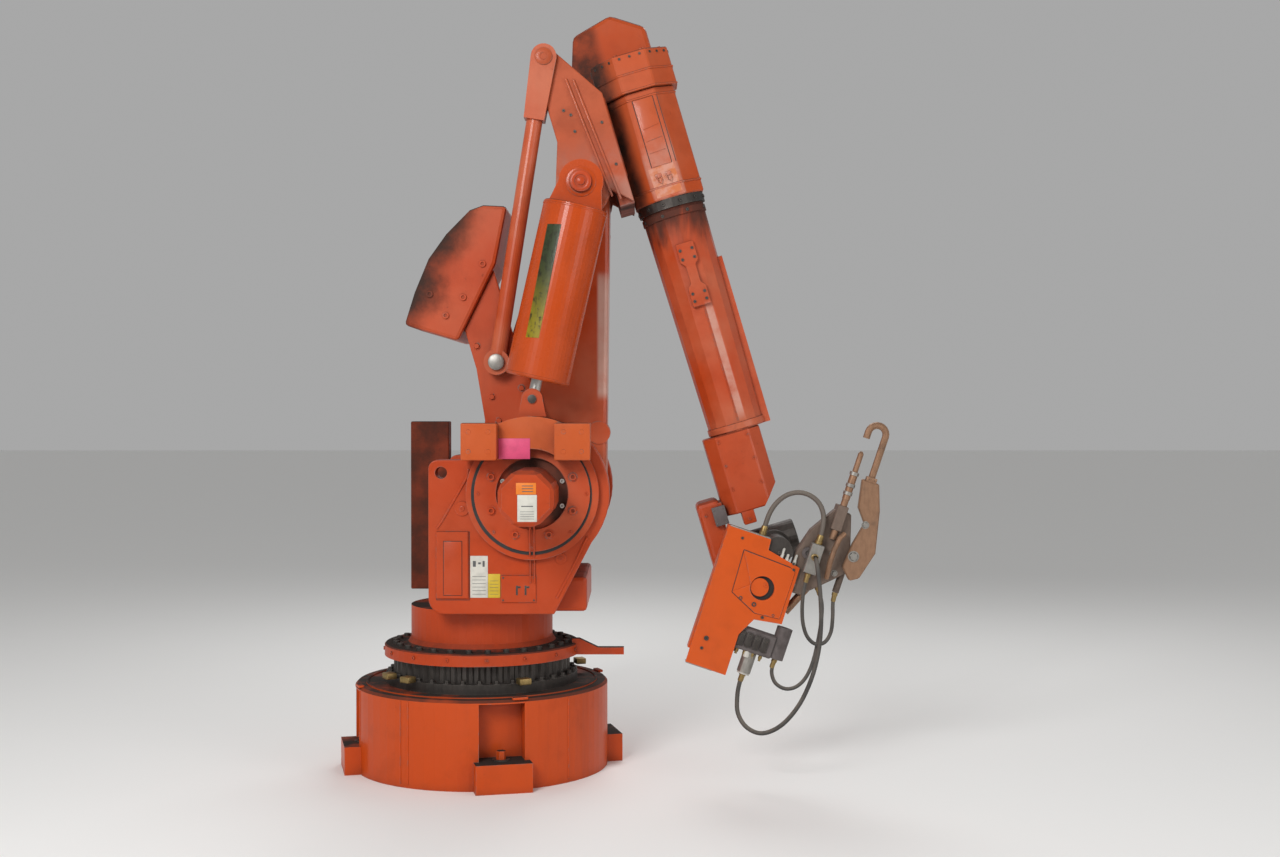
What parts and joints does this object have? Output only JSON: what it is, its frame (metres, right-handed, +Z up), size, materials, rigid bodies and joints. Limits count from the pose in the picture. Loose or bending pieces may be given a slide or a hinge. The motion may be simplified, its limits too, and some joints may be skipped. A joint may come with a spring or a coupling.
{
  "type": "industrial robot arm",
  "caption": "Orange parallelogram-arm industrial robot with balancing cylinders, a counterweight and a spot-weld gun on its wrist.",
  "frame": {"origin": "on the turning axis of the base, in the plane of its underside", "axes": "+Z up along the turning axis, +X towards the side the arm reaches to, -Y the near side with the tie rod"},
  "size_m": [1.7694, 1.2452, 2.5039],
  "materials": {
    "robot_paint": "worn gloss orange paint",
    "tool_paint": "satin orange paint",
    "dark_steel": "oiled and dusty",
    "bright_steel": "dull machined steel",
    "copper": "tarnished copper alloy",
    "hose_rubber": "matt hose rubber"
  },
  "bodies": {
    "base": {"base_drum": "robot_paint", "slewing_ring": "dark_steel"},
    "turret": {"turntable_ring": "robot_paint", "turret_neck": "robot_paint", "frame_floor": "robot_paint", "rear_cable_box": "robot_paint", "near_cheek": "robot_paint", "near_gearbox_flange": "robot_paint", "near_motor": "robot_paint", "near_buffer_beam": "robot_paint", "near_balancer_bracket": "robot_paint", "far_cheek": "robot_paint", "far_gearbox_flange": "robot_paint", "far_motor": "robot_paint", "far_buffer_beam": "robot_paint", "far_balancer_bracket": "robot_paint"},
    "lower_arm": {"lower_arm": "robot_paint"},
    "elbow_pin": {"elbow_pin": "robot_paint"},
    "upper_arm": {"elbow_housing": "robot_paint", "motor_housing": "robot_paint", "motor_housing_rim": "robot_paint", "far_motor_cover": "robot_paint", "roll_collar": "dark_steel"},
    "forearm": {"forearm_tube": "robot_paint", "forearm_bracket": "robot_paint", "wrist_housing": "robot_paint", "wrist_leg": "robot_paint"},
    "tilt_head": {"tilt_head": "dark_steel"},
    "tool": {"tool_flange": "dark_steel", "gun_bracket": "tool_paint", "gun_body": "dark_steel", "gun_arm": "copper", "hook_electrode": "copper", "valve_block": "dark_steel", "plug_socket": "bright_steel", "hose_manifold": "bright_steel", "hose_arch": "hose_rubber", "hose_loop_rear": "hose_rubber", "hose_loop_front": "hose_rubber", "hose_long": "hose_rubber"},
    "electrode": {"moving_electrode": "copper"},
    "crank": {"crank_arm": "robot_paint", "counterweight": "robot_paint"},
    "crank_pin": {"crank_pin": "bright_steel"},
    "tie_rod": {"tie_rod": "robot_paint"},
    "near_balancer": {"near_balancer": "robot_paint"},
    "far_balancer": {"far_balancer": "robot_paint"},
    "near_piston": {"near_piston_rod": "bright_steel"},
    "far_piston": {"far_piston_rod": "bright_steel"}
  },
  "joints": [
    {"name": "base_turn", "type": "hinge", "parent": "base", "child": "turret", "pos_m": [0, 0, 0], "axis": [0, 0, 1], "range_deg": [-180, 180]},
    {"name": "lower_arm_swing", "type": "hinge", "parent": "turret", "child": "lower_arm", "pos_m": [0.188, 0, 0.91], "axis": [0, 1, 0], "range_deg": [0, 61]},
    {"name": "elbow_pin_turn", "type": "hinge", "parent": "lower_arm", "child": "elbow_pin", "pos_m": [0.33962, 0, 1.8782], "axis": [0, 1, 0], "range_deg": [-61, 0]},
    {"name": "upper_arm_swing", "type": "hinge", "parent": "elbow_pin", "child": "upper_arm", "pos_m": [0.33962, 0, 1.8782], "axis": [0, 1, 0], "range_deg": [-95, 0]},
    {"name": "forearm_roll", "type": "hinge", "parent": "upper_arm", "child": "forearm", "pos_m": [0.5937, 0, 1.95346], "axis": [0.284, 0, -0.9588], "range_deg": [-195, 120]},
    {"name": "wrist_bend", "type": "hinge", "parent": "forearm", "child": "tilt_head", "pos_m": [0.95724, 0, 0.72618], "axis": [-0.9588, 0, -0.284], "range_deg": [-200, 20]},
    {"name": "tool_turn", "type": "hinge", "parent": "tilt_head", "child": "tool", "pos_m": [0.95724, 0, 0.72618], "axis": [0, -1, 0], "range_deg": [-85, 180]},
    {"name": "electrode_slide", "type": "slide", "parent": "tool", "child": "electrode", "axis": [0.3173, 0, 0.9483], "range_m": [-0.055, 0.035]},
    {"name": "crank_turn", "type": "hinge", "parent": "turret", "child": "crank", "pos_m": [0.188, 0, 0.91], "axis": [0, 1, 0], "range_deg": [-95, 0]},
    {"name": "crank_pin_turn", "type": "hinge", "parent": "crank", "child": "crank_pin", "pos_m": [0.06587, 0, 1.32229], "axis": [0, 1, 0], "range_deg": [0, 95]},
    {"name": "tie_rod_turn", "type": "hinge", "parent": "crank_pin", "child": "tie_rod", "pos_m": [0.06587, 0, 1.32229], "axis": [0, 1, 0], "range_deg": [0, 61]},
    {"name": "near_balancer_turn", "type": "hinge", "parent": "lower_arm", "child": "near_balancer", "pos_m": [0.33962, -0.306, 1.8782], "axis": [0, 1, 0], "range_deg": [0, 20]},
    {"name": "near_piston_turn", "type": "hinge", "parent": "turret", "child": "near_piston", "pos_m": [0.188, -0.306, 1.204], "axis": [0, 1, 0], "range_deg": [0, 90]},
    {"name": "far_balancer_turn", "type": "hinge", "parent": "lower_arm", "child": "far_balancer", "pos_m": [0.33962, 0.306, 1.8782], "axis": [0, 1, 0], "range_deg": [0, 20]},
    {"name": "far_piston_turn", "type": "hinge", "parent": "turret", "child": "far_piston", "pos_m": [0.188, 0.306, 1.204], "axis": [0, 1, 0], "range_deg": [0, 90]}
  ],
  "couplings": [
    {"joint": "elbow_pin_turn", "follows": "lower_arm_swing", "ratio": -1},
    {"joint": "crank_turn", "follows": "upper_arm_swing", "ratio": 1},
    {"joint": "crank_pin_turn", "follows": "upper_arm_swing", "ratio": -1},
    {"joint": "tie_rod_turn", "follows": "lower_arm_swing", "ratio": 1},
    {"joint": "near_balancer_turn", "follows": "lower_arm_swing", "ratio": 0.26},
    {"joint": "near_piston_turn", "follows": "lower_arm_swing", "ratio": 1.26},
    {"joint": "far_balancer_turn", "follows": "lower_arm_swing", "ratio": 0.26},
    {"joint": "far_piston_turn", "follows": "lower_arm_swing", "ratio": 1.26}
  ]
}
